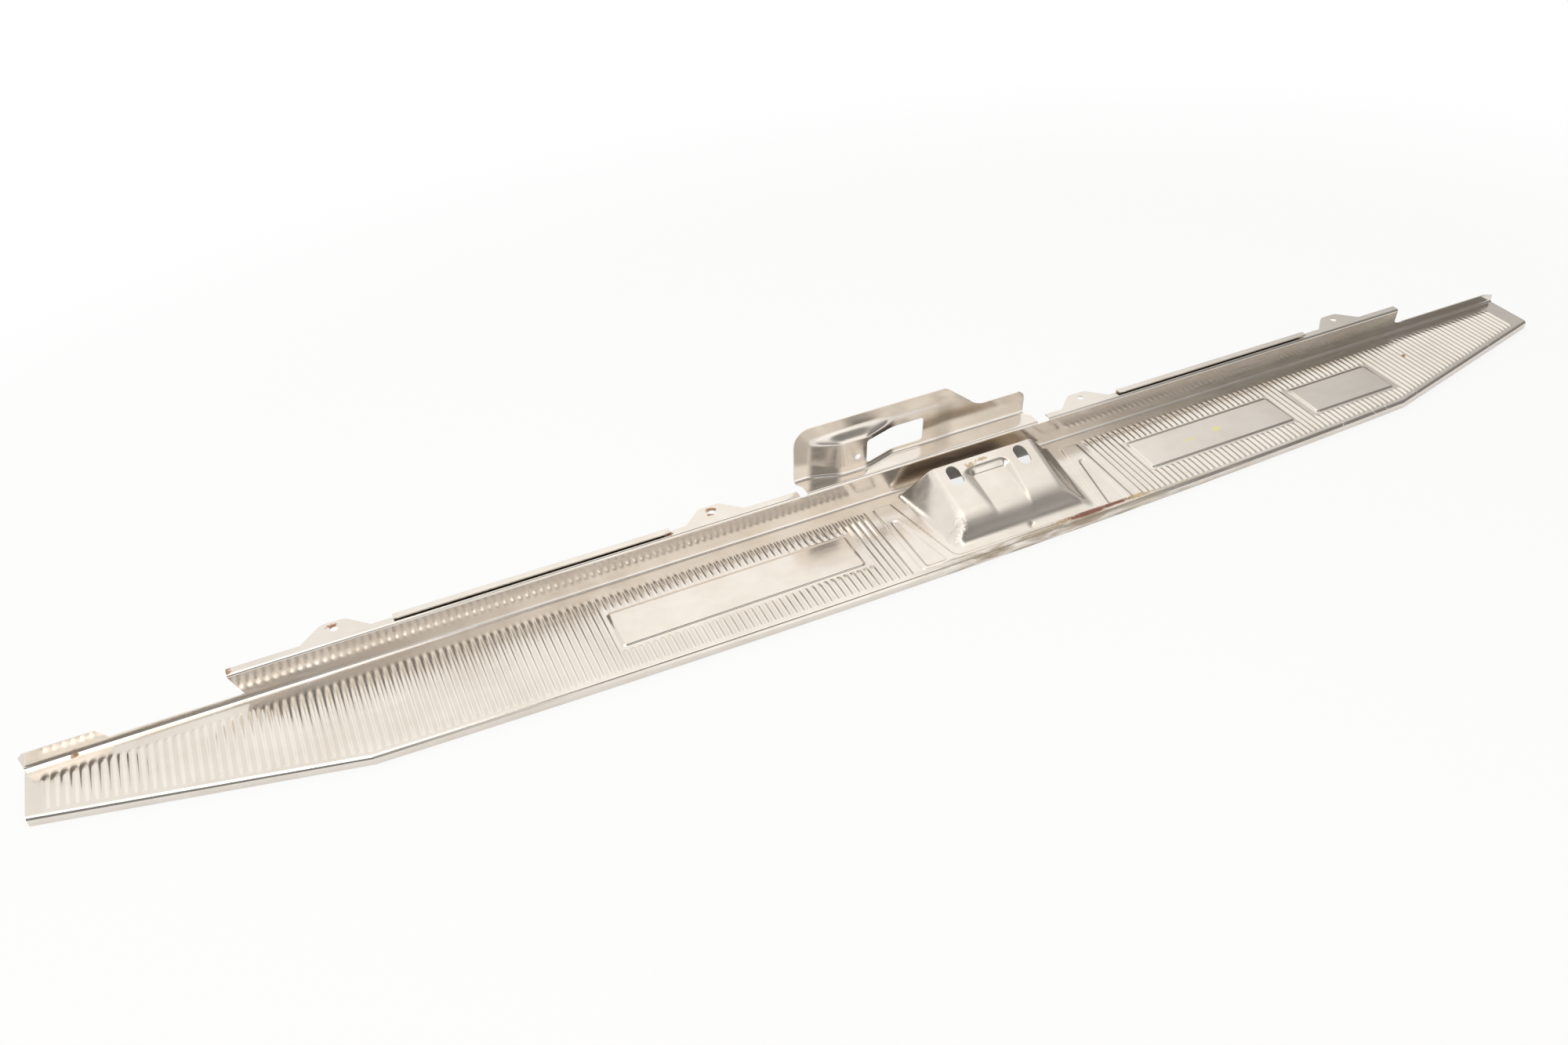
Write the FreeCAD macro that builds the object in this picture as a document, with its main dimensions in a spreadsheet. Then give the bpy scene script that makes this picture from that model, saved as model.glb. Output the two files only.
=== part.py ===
import FreeCAD, Part
import math
import os

from FreeCAD import Placement, Rotation, Vector
from Sketcher import Constraint

# Boot lid trim: one pressing in stainless sheet. A ribbed tray with a rolled front lip, a wall
# folded up along its rear, a flange with hems and screw tabs on the wall, a lock cover drawn up
# out of the tray and a striker bracket folded up from the middle of the wall.
# X runs along the part, Y to the rear, Z up. While it is drawn, zero is the foot of the wall on
# the top face of the tray; the finished piece is moved to the middle of its base at the end.

doc = FreeCAD.newDocument("boot_lid_trim")
sheet = doc.addObject("Spreadsheet::Sheet", "Sizes")

SIZES = [
    # sheet and tray
    ("sheet_gauge", 1.0),
    ("half_length", 628.0),
    ("kink_reach", 432.0),
    ("front_middle", 93.5),
    ("front_kink", 85.0),
    ("front_end", 41.0),
    ("lip_depth", 7.0),
    ("lip_bend", 3.5),
    # ribs
    ("rib_pitch", 5.4),
    ("rib_height", 0.9),
    ("rib_radius", 2.9),
    ("rib_rear_margin", 11.5),
    ("rib_front_margin", 4.2),
    ("rib_left_end", 11.4),
    ("rib_right_end", 18.8),
    ("rib_left_clear", 8.6),
    ("rib_right_clear", 7.6),
    ("rib_pad_gap", 1.6),
    # wall, strips and flange
    ("wall_height", 24.5),
    ("wall_setback", 126.0),
    ("wall_end_lean", 3.0),
    ("fold_bend", 2.2),
    ("left_strip", 4.5),
    ("right_strip", 9.5),
    ("end_flange", 13.0),
    ("end_flange_length", 50.0),
    ("end_flange_ramp", 6.0),
    ("strip_corner", 3.0),
    ("flange_depth", 6.5),
    ("flange_gap_left", -95.0),
    ("flange_gap_right", 127.0),
    ("hem_inset", 107.0),
    ("hem_inner", 197.0),
    ("hem_bend", 1.7),
    ("hem_return", 4.2),
    # screw tabs
    ("tab_inset", 67.0),
    ("tab_inner", 163.5),
    ("tab_shift", 2.5),
    ("tab_reach", 20.0),
    ("tab_foot", 46.0),
    ("tab_head", 16.0),
    ("tab_corner", 4.0),
    ("tab_lap", 1.0),
    ("tab_hole", 5.5),
    ("tab_hole_reach", 13.0),
    # raised pads, from their left and right edges
    ("pad_height", 1.2),
    ("pad_corner", 4.0),
    ("pad_rear", 30.0),
    ("pad_front", 65.0),
    ("pad_a_left", -261.0),
    ("pad_a_right", -73.0),
    ("pad_b_left", 182.0),
    ("pad_b_right", 330.0),
    ("pad_c_left", 352.0),
    ("pad_c_right", 440.0),
    # lock cover
    ("cover_centre", 53.5),
    ("cover_rear_height", 24.0),
    ("cover_front_height", 10.0),
    ("cover_rear", 6.0),
    ("cover_front", 79.5),
    ("cover_foot_rear", 134.0),
    ("cover_foot_front", 116.0),
    ("cover_top_width", 90.5),
    ("cover_top_rear", 13.5),
    ("cover_top_front", 62.5),
    ("cover_foot_corner", 10.0),
    ("cover_top_corner", 4.0),
    ("finger_hole_width", 10.5),
    ("finger_hole_length", 18.0),
    ("finger_hole_rear", 16.5),
    ("finger_hole_span", 60.5),
    ("dish_width", 30.0),
    ("dish_rear", 27.0),
    ("dish_depth", 3.2),
    # platforms beside the cover
    ("platform_height", 0.8),
    ("platform_half", 94.5),
    ("platform_rear", 12.0),
    ("platform_front", 88.0),
    ("platform_corner", 3.0),
    ("channel_rear_half", 78.0),
    ("channel_front_half", 63.0),
    ("web_outer_half", 89.0),
    ("web_tip", 6.5),
    ("web_foot", 17.5),
    ("web_rear", 31.0),
    ("web_front", 86.0),
    ("web_corner", 2.0),
    # striker bracket
    ("shelf_left", -88.5),
    ("shelf_right", 116.0),
    ("bracket_left", -92.0),
    ("bracket_right", 112.0),
    ("bracket_back", 18.5),
    ("bracket_top", 70.0),
    ("bracket_corner", 14.0),
    ("bracket_step_top", 45.5),
    ("bracket_step_left", 38.0),
    ("bracket_step_right", 68.0),
    ("bracket_step_round", 8.0),
    ("bracket_end_round", 7.0),
    ("boss_face", 9.5),
    ("boss_left", -56.0),
    ("boss_right", -34.0),
    ("boss_left_foot", -80.0),
    ("recess_face", 16.8),
    ("recess_left", -9.0),
    ("recess_right", 29.0),
    ("recess_right_foot", 45.0),
    ("boss_top", 54.0),
    ("bevel_top", 59.5),
    ("window_left", -34.5),
    ("window_right", 18.5),
    ("window_bottom", 28.5),
    ("window_top", 49.5),
    ("window_corner", 2.5),
    ("plate_hole", 5.0),
    ("plate_hole_x", -42.0),
    ("plate_hole_z", 37.0),
]
for row, (alias, number) in enumerate(SIZES, start=1):
    sheet.set("A%d" % row, alias)
    sheet.set("B%d" % row, repr(number))
    sheet.setAlias("B%d" % row, alias)
doc.recompute()


class Size:
    """A length with the expression that ties it to the sheet."""

    def __init__(self, value, text):
        self.value = value
        self.text = text

    def _join(self, other, sign, value):
        text = other.text if isinstance(other, Size) else repr(float(other))
        return Size(value, "(%s %s %s)" % (self.text, sign, text))

    def __add__(self, other):
        return self._join(other, "+", self.value + number_of(other))

    def __sub__(self, other):
        return self._join(other, "-", self.value - number_of(other))

    def __mul__(self, other):
        return self._join(other, "*", self.value * number_of(other))

    def __truediv__(self, other):
        return self._join(other, "/", self.value / number_of(other))

    def __neg__(self):
        return self * -1.0


def number_of(item):
    return item.value if isinstance(item, Size) else float(item)


def size(alias):
    return Size(float(sheet.get(alias)), "Sizes." + alias)


def value(alias):
    return float(sheet.get(alias))


ZERO = size("sheet_gauge") * 0.0
GAUGE = size("sheet_gauge")


def bind(obj, prop, item):
    """Gives a property its value and ties it to the sheet."""
    obj.setExpression(prop, item.text)


def place(obj, x=ZERO, y=ZERO, z=ZERO):
    for axis, item in (("x", x), ("y", y), ("z", z)):
        bind(obj, "Placement.Base." + axis, item)


def sketch(name, corners, turn=None, bows=None):
    """A closed outline whose corners are tied to the sheet; bows gives a side the height of its
    arc over the chord."""
    bows = bows or {}
    outline = doc.addObject("Sketcher::SketchObject", name)
    outline.Placement = Placement(Vector(), turn or Rotation())
    points = [Vector(number_of(x), number_of(y), 0) for x, y in corners]
    count = len(points)
    for side, start in enumerate(points):
        end = points[(side + 1) % count]
        if side in bows:
            across = Vector(end.y - start.y, start.x - end.x, 0).normalize()
            middle = (start + end) * 0.5 + across * number_of(bows[side])
            outline.addGeometry(Part.Arc(start, middle, end))
        else:
            outline.addGeometry(Part.LineSegment(start, end))
    for side, (x, y) in enumerate(corners):
        if side in bows:
            continue
        if (side + 1) % count not in bows:
            outline.addConstraint(Constraint("Coincident", side, 2, (side + 1) % count, 1))
        for kind, item, number in (("DistanceX", x, points[side].x), ("DistanceY", y, points[side].y)):
            tie = outline.addConstraint(Constraint(kind, side, 1, number))
            if isinstance(item, Size):
                bind(outline, "Constraints[%d]" % tie, item)
    return outline


def extrude(name, outline, ahead, behind=None):
    solid = doc.addObject("Part::Extrusion", name)
    solid.Base = outline
    solid.DirMode = "Normal"
    solid.Solid = True
    bind(solid, "LengthFwd", ahead)
    if behind is not None:
        bind(solid, "LengthRev", behind)
    return solid


def prism(name, corners, bottom, top, bows=None):
    """A plan outline raised from one level to another."""
    outline = sketch(name + "_plan", corners, bows=bows)
    place(outline, z=bottom)
    return extrude(name, outline, top - bottom)


def block(name, left, right, front, rear, bottom, top):
    solid = doc.addObject("Part::Box", name)
    bind(solid, "Length", right - left)
    bind(solid, "Width", rear - front)
    bind(solid, "Height", top - bottom)
    place(solid, left, front, bottom)
    return solid


def bar(name, profile, left, right, bows=None):
    """A section in Y and Z run along X."""
    outline = sketch(name + "_section", profile, ALONG_X, bows)
    place(outline, x=left)
    return extrude(name, outline, right - left)


def fuse(name, parts):
    joined = doc.addObject("Part::MultiFuse", name)
    joined.Shapes = parts
    joined.Refine = False
    return joined


def cut(name, base, tool):
    left_over = doc.addObject("Part::Cut", name)
    left_over.Base = base
    left_over.Tool = tool
    left_over.Refine = False
    return left_over


def common(name, base, tool):
    overlap = doc.addObject("Part::Common", name)
    overlap.Base = base
    overlap.Tool = tool
    overlap.Refine = False
    return overlap


def round_edges(name, base, radius, wanted):
    """Rounds the edges of base whose middle and direction pass the test in wanted."""
    doc.recompute()
    rounded = doc.addObject("Part::Fillet", name)
    rounded.Base = base
    chosen = []
    for index, edge in enumerate(base.Shape.Edges, start=1):
        first, last = edge.Vertexes[0].Point, edge.Vertexes[-1].Point
        if wanted((first + last) * 0.5, (last - first).normalize() if last != first else Vector()):
            chosen.append((index, radius, radius))
    rounded.Edges = chosen
    return rounded


ALONG_X = Rotation(Vector(1, 1, 1), 120)
UPRIGHT = Rotation(Vector(1, 0, 0), 90)
SLACK = 5.0
HALF = 0.5

half_length = size("half_length")
kink = size("kink_reach")
front_kink = size("front_kink")
front_end = size("front_end")
bow = size("front_middle") - front_kink
lip_depth = size("lip_depth")
fold = size("fold_bend")
cove = fold - GAUGE
wall_height = size("wall_height")
flange_depth = size("flange_depth")


def parallel_to_z(direction):
    return abs(direction.z) > 0.9


def parallel_to_y(direction):
    return abs(direction.y) > 0.9


# Tray with its rolled front lip: an outer block rounded along the front, less an inner one.
taper = (front_kink - front_end) / (half_length - kink)


def tray_block(name, reach, rear, inset, bottom, top, radius):
    end = front_end - taper * (reach - half_length) - inset
    middle = front_kink - inset
    corners = [(-reach, rear), (-reach, -end), (-kink, -middle),
               (kink, -middle), (reach, -end), (reach, rear)]
    body = prism(name + "_block", corners, bottom, top, {2: bow})
    level = top.value
    edge_of_front = -(front_end.value)
    return round_edges(name, body, radius, lambda middle, direction: (
        abs(middle.z - level) < 0.01 and middle.y < edge_of_front))


tray_outer = tray_block("tray_outer", half_length, -cove, ZERO, -lip_depth, ZERO, value("lip_bend"))
tray_inner = tray_block("tray_inner", half_length + SLACK, ZERO + SLACK, GAUGE,
                        -lip_depth - SLACK, -GAUGE, value("lip_bend") - value("sheet_gauge"))
tray = cut("tray", tray_outer, tray_inner)

# Fold at the foot of the wall, along the whole part.
fold_bar = bar("fold", [(-cove, -GAUGE), (GAUGE, cove), (ZERO, cove), (-cove, ZERO)],
               -half_length, half_length,
               {0: fold * (1 - math.sqrt(HALF)), 2: -cove * (1 - math.sqrt(HALF))})

# Wall in elevation: full height over the middle, low strips and an end flange outside it.
wall_half = half_length - size("wall_setback")
wall_top = wall_height - fold
lean = size("wall_end_lean")
left_strip = size("left_strip")
right_strip = size("right_strip")
end_flange = size("end_flange")
flange_inner = half_length - size("end_flange_length")
ramp_run = size("end_flange_ramp")
corner_cut = size("strip_corner")
wall_outline = sketch("wall_elevation", [
    (-half_length, cove), (half_length, cove),
    (half_length, right_strip - corner_cut), (half_length - ramp_run * 2, right_strip),
    (wall_half + lean, right_strip), (wall_half, right_strip + lean), (wall_half, wall_top),
    (-wall_half, wall_top), (-wall_half + lean * 2, left_strip),
    (-flange_inner, left_strip), (-flange_inner - ramp_run, end_flange),
    (-half_length + corner_cut, end_flange), (-half_length, end_flange - corner_cut)], UPRIGHT)
place(wall_outline, y=GAUGE)
wall = extrude("wall", wall_outline, GAUGE)


def ledge(name, left, right, depth):
    """The top of the wall bent to the rear by depth."""
    section = [(ZERO, wall_top), (GAUGE, wall_top), (fold, wall_height - GAUGE),
               (depth, wall_height - GAUGE), (depth, wall_height), (fold, wall_height)]
    return bar(name, section, left, right,
               {1: -cove * (1 - math.sqrt(HALF)), 5: fold * (1 - math.sqrt(HALF))})


def hem(name, left, right):
    """The flange's rear edge rolled up and forward over itself."""
    outer = size("hem_bend")
    inner = outer - GAUGE
    leg_bottom = wall_height + inner * 2
    leg_top = leg_bottom + GAUGE
    front = flange_depth - size("hem_return")
    section = [(flange_depth, wall_height - GAUGE), (flange_depth, leg_top), (front, leg_top),
               (front, leg_bottom), (flange_depth, leg_bottom), (flange_depth, wall_height)]
    return bar(name, section, left, right, {0: outer, 4: -inner})


def tab(name, centre):
    foot = size("tab_foot") * HALF
    head = size("tab_head") * HALF
    reach = size("tab_reach")
    lap = flange_depth - size("tab_lap")
    plate = prism(name + "_plate", [(centre - foot, lap), (centre + foot, lap),
                                    (centre + head, reach), (centre - head, reach)],
                  wall_height - GAUGE, wall_height)
    outer = reach.value
    return round_edges(name, plate, value("tab_corner"), lambda middle, direction: (
        parallel_to_z(direction) and abs(middle.y - outer) < 0.01))


gap_left = size("flange_gap_left")
gap_right = size("flange_gap_right")
hem_outer = wall_half - size("hem_inset")
hem_inner = size("hem_inner")
ledges = [
    ledge("flange_left", -wall_half, gap_left, flange_depth),
    ledge("flange_right", gap_right, wall_half, flange_depth),
    ledge("shelf", size("shelf_left"), size("shelf_right"), size("bracket_back")),
    hem("hem_left", -hem_outer, -hem_inner),
    hem("hem_right", hem_inner, hem_outer),
]
shift = size("tab_shift")
tab_outer = wall_half - size("tab_inset")
tab_inner = size("tab_inner")
tab_centres = [shift - tab_outer, shift - tab_inner, shift + tab_inner, shift + tab_outer]
tabs = [tab("tab_%d" % number, centre) for number, centre in enumerate(tab_centres, start=1)]


def upright_hole(name, x, y, diameter, bottom, top):
    drill = doc.addObject("Part::Cylinder", name)
    bind(drill, "Radius", diameter * HALF)
    bind(drill, "Height", top - bottom)
    place(drill, x, y, bottom)
    return drill


tab_holes = [
    upright_hole("tab_hole_%d" % number, centre, size("tab_hole_reach"), size("tab_hole"),
                 wall_height - SLACK, wall_height + SLACK)
    for number, centre in enumerate(tab_centres, start=1)]

# Striker bracket: a plate folded up from the back of the shelf, with its foot and middle set
# forward of the plain upper edge.
back = size("bracket_back")
plain = back - GAUGE
edge_left = size("bracket_left") - SLACK
edge_right = size("bracket_right") + SLACK
foot_xs = [edge_left, size("boss_left_foot"), size("boss_left"), size("boss_right"),
           size("recess_left"), size("recess_right"), size("recess_right_foot"), edge_right]
set_forward = [plain, plain, size("boss_face"), size("boss_face"),
               size("recess_face"), size("recess_face"), plain, plain]


def plate_plan(name, faces, level):
    fronts = list(zip(foot_xs, faces))
    rears = [(x, y + GAUGE) for x, y in reversed(fronts)]
    outline = sketch(name, fronts + rears)
    place(outline, z=level)
    return outline


boss_top = size("boss_top")
bevel_top = size("bevel_top")
plate_foot = extrude("plate_foot", plate_plan("plate_foot_plan", set_forward, wall_height - GAUGE),
                     boss_top - wall_height + GAUGE)
bevel = doc.addObject("Part::Loft", "plate_bevel")
bevel.Sections = [plate_plan("bevel_foot_plan", set_forward, boss_top),
                  plate_plan("bevel_head_plan", [plain] * len(foot_xs), bevel_top)]
bevel.Solid = True
bevel.Ruled = True
plate_head = block("plate_head", edge_left, edge_right, plain, back, bevel_top,
                   size("bracket_top") + SLACK)
plate_sheet = fuse("plate_sheet", [plate_foot, bevel, plate_head])

plate_left = size("bracket_left")
plate_right = size("bracket_right")
plate_top = size("bracket_top")
step_top = size("bracket_step_top")
step_left = size("bracket_step_left")
step_right = size("bracket_step_right")
plate_outline = sketch("plate_elevation", [
    (plate_left, wall_height - GAUGE), (plate_right, wall_height - GAUGE), (plate_right, step_top),
    (step_right, step_top), (step_left, plate_top), (plate_left, plate_top)], UPRIGHT)
place(plate_outline, y=back + SLACK)
plate_prism = extrude("plate_prism", plate_outline, back + SLACK * 2)


def near(x, z):
    return lambda middle, direction: (parallel_to_y(direction)
                                      and abs(middle.x - x) < 0.01 and abs(middle.z - z) < 0.01)


rounded_prism = plate_prism
for number, (x, z, radius) in enumerate([
        (plate_left, plate_top, "bracket_corner"), (step_left, plate_top, "bracket_step_round"),
        (step_right, step_top, "bracket_step_round"), (plate_right, step_top, "bracket_end_round")]):
    rounded_prism = round_edges("plate_prism_round_%d" % number, rounded_prism, value(radius),
                                near(x.value, z.value))
plate = common("plate", plate_sheet, rounded_prism)

window_block = block("window_block", size("window_left"), size("window_right"), ZERO, back + SLACK,
                     size("window_bottom"), size("window_top"))
window = round_edges("window", window_block, value("window_corner"),
                     lambda middle, direction: parallel_to_y(direction))
plate_hole = doc.addObject("Part::Cylinder", "plate_hole")
bind(plate_hole, "Radius", size("plate_hole") * HALF)
bind(plate_hole, "Height", back)
plate_hole.Placement = Placement(Vector(), Rotation(Vector(1, 0, 0), -90))
place(plate_hole, size("plate_hole_x"), ZERO, size("plate_hole_z"))

# Lock cover: a drawn box with a top that slopes down to the front, hollow underneath.
centre = value("cover_centre")
TALL = 40.0
BROW_DROP = 1.5


def cover_solid(inset):
    """The drawn box, shrunk by inset on every side but the bottom."""
    foot_rear = value("cover_foot_rear") * HALF - inset
    foot_front = value("cover_foot_front") * HALF - inset
    rear = -value("cover_rear") - inset
    front = -value("cover_front") + inset
    top_half = value("cover_top_width") * HALF - inset
    top_rear = -value("cover_top_rear") - inset
    top_front = -value("cover_top_front") + inset
    rear_height = value("cover_rear_height") - inset
    front_height = value("cover_front_height") - inset
    foot = [(-foot_rear, rear, 0), (foot_rear, rear, 0), (foot_front, front, 0), (-foot_front, front, 0)]
    head = [(-top_half, top_rear, rear_height), (top_half, top_rear, rear_height),
            (top_half, top_front, front_height), (-top_half, top_front, front_height)]
    loops = [Part.makePolygon([Vector(x + centre, y, z) for x, y, z in loop + loop[:1]])
             for loop in (foot, head)]
    body = Part.makeLoft(loops, True, True)
    lower = Part.Face(loops[0]).extrude(Vector(0, 0, -SLACK))
    upright = []
    for edge in body.Edges:
        heights = sorted(vertex.Z for vertex in edge.Vertexes)
        if heights[0] < 0.001 and heights[-1] > 0.001:
            upright.append(edge)
    body = body.makeFillet(value("cover_foot_corner") - inset, upright)
    brow = [edge for edge in body.Edges if min(vertex.Z for vertex in edge.Vertexes)
            > front_height - BROW_DROP]
    body = body.makeFillet(value("cover_top_corner") - inset, brow)
    sole = [face for face in body.Faces if abs(face.CenterOfMass.z) < 0.001][0]
    return body.fuse(sole.extrude(Vector(0, 0, -SLACK))).removeSplitter()


def dish(inset):
    """Wedge that is pressed into the top and runs out at its front edge."""
    half = value("dish_width") * HALF + inset
    slope = ((value("cover_rear_height") - value("cover_front_height"))
             / (value("cover_top_front") - value("cover_top_rear")))
    rear = -value("dish_rear") + inset
    front = -value("cover_top_front") - inset
    at_rear = value("cover_rear_height") - slope * (-rear - value("cover_top_rear"))
    deep = at_rear - value("dish_depth") - inset
    low = value("cover_front_height") - inset
    side = Part.makePolygon([Vector(0, rear, deep), Vector(0, front, low), Vector(0, front, TALL),
                             Vector(0, rear, TALL), Vector(0, rear, deep)])
    wedge = Part.Face(side).extrude(Vector(half * 2, 0, 0))
    wedge.translate(Vector(centre - half, 0, 0))
    return wedge


def finger_hole(offset):
    radius = value("finger_hole_width") * HALF
    rear = -value("finger_hole_rear") - radius
    front = rear - value("finger_hole_length") + radius * 2
    ends = [Part.makeCylinder(radius, TALL, Vector(centre + offset, y, SLACK)) for y in (rear, front)]
    slot = Part.makeBox(radius * 2, rear - front, TALL,
                        Vector(centre + offset - radius, front, SLACK))
    return ends[0].fuse(ends[1]).fuse(slot).removeSplitter()


def feature(name, shape):
    item = doc.addObject("Part::Feature", name)
    item.Shape = shape
    return item


cover_outer = feature("cover_outer", cover_solid(0.0).cut(dish(0.0)))
cover_inner = feature("cover_inner", cover_solid(value("sheet_gauge")).cut(dish(value("sheet_gauge"))))
span = value("finger_hole_span") * HALF
finger_holes = feature("finger_holes", Part.makeCompound([finger_hole(-span), finger_hole(span)]))


# Pads and platforms are pressed up: each adds a slab on top and a matching hollow below.
def mirrored(points, mirror):
    middle = size("cover_centre")
    places = [(middle + (x if mirror > 0 else -x), -y) for x, y in points]
    return places if mirror < 0 else places[::-1]


def pressed(name, corners, shrunk, height, radius):
    slab = prism(name + "_slab", corners, -GAUGE * HALF, height)
    rise = round_edges(name + "_rise", slab, radius,
                       lambda middle, direction: parallel_to_z(direction))
    core = prism(name + "_core", shrunk, -GAUGE - SLACK, height - GAUGE)
    hollow = round_edges(name + "_hollow", core, max(radius - value("sheet_gauge"), 0.5),
                         lambda middle, direction: parallel_to_z(direction))
    return rise, hollow


def rectangle(left, right, rear, front):
    return [(left, -front), (right, -front), (right, -rear), (left, -rear)]


pad_rear = size("pad_rear")
pad_front = size("pad_front")
pads = []
for letter in "abc":
    start = size("pad_%s_left" % letter)
    stop = size("pad_%s_right" % letter)
    pads.append(pressed("pad_" + letter, rectangle(start, stop, pad_rear, pad_front),
                        rectangle(start + GAUGE, stop - GAUGE, pad_rear + GAUGE, pad_front - GAUGE),
                        size("pad_height"), value("pad_corner")))


def platform_corners(inset):
    rear = size("platform_rear") + inset
    front = size("platform_front") - inset
    outer = size("platform_half") - inset
    return [(size("channel_rear_half") + inset, rear), (size("channel_front_half") + inset, front),
            (outer, front), (outer, rear)]


def web_corners(inset):
    outer = size("web_outer_half") + inset
    return [(outer - size("web_tip") - inset * 2, size("web_rear") - inset),
            (outer - size("web_foot") - inset * 2, size("web_front") + inset),
            (outer, size("web_front") + inset), (outer, size("web_rear") - inset)]


platforms = []
webs = []
for side, sign in (("left", -1), ("right", 1)):
    platforms.append(pressed("platform_" + side, mirrored(platform_corners(ZERO), sign),
                             mirrored(platform_corners(GAUGE), sign), size("platform_height"),
                             value("platform_corner")))
    web = prism("web_" + side, mirrored(web_corners(ZERO), sign), ZERO, size("platform_height") + SLACK)
    webs.append(round_edges("web_%s_sink" % side, web, value("web_corner"),
                            lambda middle, direction: parallel_to_z(direction)))


# Ribs: rows of round-topped flutes across the tray, each broken where a pad crosses it.
def front_line(x):
    reach = abs(x)
    if reach > kink.value:
        return front_kink.value - taper.value * (reach - kink.value)
    return front_kink.value + bow.value * (1 - (reach / kink.value) ** 2)


pad_spans = [(value("pad_%s_left" % letter), value("pad_%s_right" % letter)) for letter in "abc"]
rib_gap = value("rib_pad_gap")
SNAP = 0.01


def rib_runs(x):
    """Rear and front ends of the flutes on one rib line."""
    rear = value("rib_rear_margin")
    front = front_line(x) - value("rib_front_margin")
    half = value("rib_pitch") * HALF
    if any(start - half < x < stop + half for start, stop in pad_spans):
        return [(rear, pad_rear.value - rib_gap), (pad_front.value + rib_gap, front)]
    return [(rear, front)]


def rib_lines():
    """Rib lines at an even pitch, from the platforms outwards to the plain ends of the tray."""
    pitch = value("rib_pitch")
    reach = value("platform_half")
    left_inner = centre - reach - value("rib_left_clear")
    right_inner = centre + reach + value("rib_right_clear")
    left_outer = value("rib_left_end") - half_length.value
    right_outer = half_length.value - value("rib_right_end")
    left_steps = int((left_inner - left_outer) / pitch + SNAP)
    right_steps = int((right_outer - right_inner) / pitch + SNAP)
    return ([left_inner - pitch * step for step in range(left_steps, -1, -1)]
            + [right_inner + pitch * step for step in range(right_steps + 1)])


def flutes(radius, end_inset):
    depth = value("rib_radius") - value("rib_height")
    bars = []
    for x in rib_lines():
        for rear, front in rib_runs(x):
            bars.append(Part.makeCylinder(radius, front - rear - end_inset * 2,
                                          Vector(x, -rear - end_inset, -depth), Vector(0, -1, 0)))
    return bars


def trimmed(bars, low, high):
    """The part of each round bar between two levels."""
    slice_box = Part.makeBox(half_length.value * 2, front_kink.value * 2, high - low,
                             Vector(-half_length.value, -front_kink.value * 2, low))
    return Part.makeCompound([bar.common(slice_box) for bar in bars])


gauge = GAUGE.value
ribs = feature("ribs", trimmed(flutes(value("rib_radius"), 0.0), -gauge * HALF, SLACK))
rib_hollows = feature("rib_hollows", trimmed(flutes(value("rib_radius") - gauge, gauge * HALF),
                                             -gauge - SLACK * HALF, SLACK))

# The whole pressing.
raised = fuse("raised", [tray, fold_bar, wall] + ledges + tabs + [plate]
              + [rise for rise, hollow in pads + platforms] + [cover_outer])
openings = [hollow for rise, hollow in pads + platforms] + tab_holes + webs
openings += [cover_inner, finger_holes, window, plate_hole]
hollowed = cut("hollowed", raised, fuse("openings", openings))
web_floors = []
for side, sign in (("left", -1), ("right", 1)):
    floor = prism("web_%s_floor" % side, mirrored(web_corners(GAUGE), sign), -GAUGE, ZERO)
    web_floors.append(round_edges("web_%s_sheet" % side, floor, value("web_corner"),
                                  lambda middle, direction: parallel_to_z(direction)))
with_webs = fuse("with_webs", [hollowed] + web_floors + [ribs])
trim = cut("boot_lid_trim", with_webs, rib_hollows)
trim.Label = "boot_lid_trim"
place(trim, y=(size("front_middle") - size("tab_reach")) * HALF, z=lip_depth)
doc.recompute()

nodes = [trim]
faults = [item.Name for item in doc.Objects if "Invalid" in item.State or "Error" in item.State]
if faults:
    raise RuntimeError("failed objects: " + ", ".join(faults))
os.makedirs("parts", exist_ok=True)
for node in nodes:
    shape = node.Shape
    if shape.isNull() or not shape.isValid() or len(shape.Solids) != 1:
        raise RuntimeError("%s: %d solids" % (node.Label, len(shape.Solids)))
    shape.exportStep("parts/%s.step" % node.Label)
    box = shape.BoundBox
    print(node.Label, "volume %.0f mm3" % shape.Volume, "faces", len(shape.Faces),
          "box %.2f..%.2f %.2f..%.2f %.2f..%.2f" % (box.XMin, box.XMax, box.YMin, box.YMax,
                                                    box.ZMin, box.ZMax))
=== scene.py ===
import math

import bmesh
import bpy
from mathutils import Matrix, Vector


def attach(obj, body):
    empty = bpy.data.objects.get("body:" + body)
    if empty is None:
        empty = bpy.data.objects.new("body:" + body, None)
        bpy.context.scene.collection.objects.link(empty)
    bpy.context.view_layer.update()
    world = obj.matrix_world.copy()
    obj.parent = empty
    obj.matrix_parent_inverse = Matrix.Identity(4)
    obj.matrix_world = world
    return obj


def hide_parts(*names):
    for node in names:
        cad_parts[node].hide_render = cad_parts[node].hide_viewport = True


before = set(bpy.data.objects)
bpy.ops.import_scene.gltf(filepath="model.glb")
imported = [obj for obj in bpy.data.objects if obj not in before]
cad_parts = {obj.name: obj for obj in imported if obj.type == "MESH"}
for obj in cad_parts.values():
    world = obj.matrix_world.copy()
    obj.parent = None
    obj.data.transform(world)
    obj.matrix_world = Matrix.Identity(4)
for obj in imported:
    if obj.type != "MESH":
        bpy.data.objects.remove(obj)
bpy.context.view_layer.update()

# Sizes in millimetres, drawn with zero at the foot of the rear wall on the top face of the tray,
# Y to the rear and Z up. HOME moves a drawn piece to the middle of the part's base, in metres.
GAUGE = 1.0
HALF_LENGTH = 628.0
KINK = 432.0
FRONT_MIDDLE, FRONT_KINK, FRONT_END = 93.5, 85.0, 41.0
LIP_DEPTH, LIP_BEND = 7.0, 3.5
TAB_REACH = 20.0
FOLD = 2.2
WALL_HEIGHT = 24.5
WALL_TOP = WALL_HEIGHT - FOLD
MM = 0.001
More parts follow.
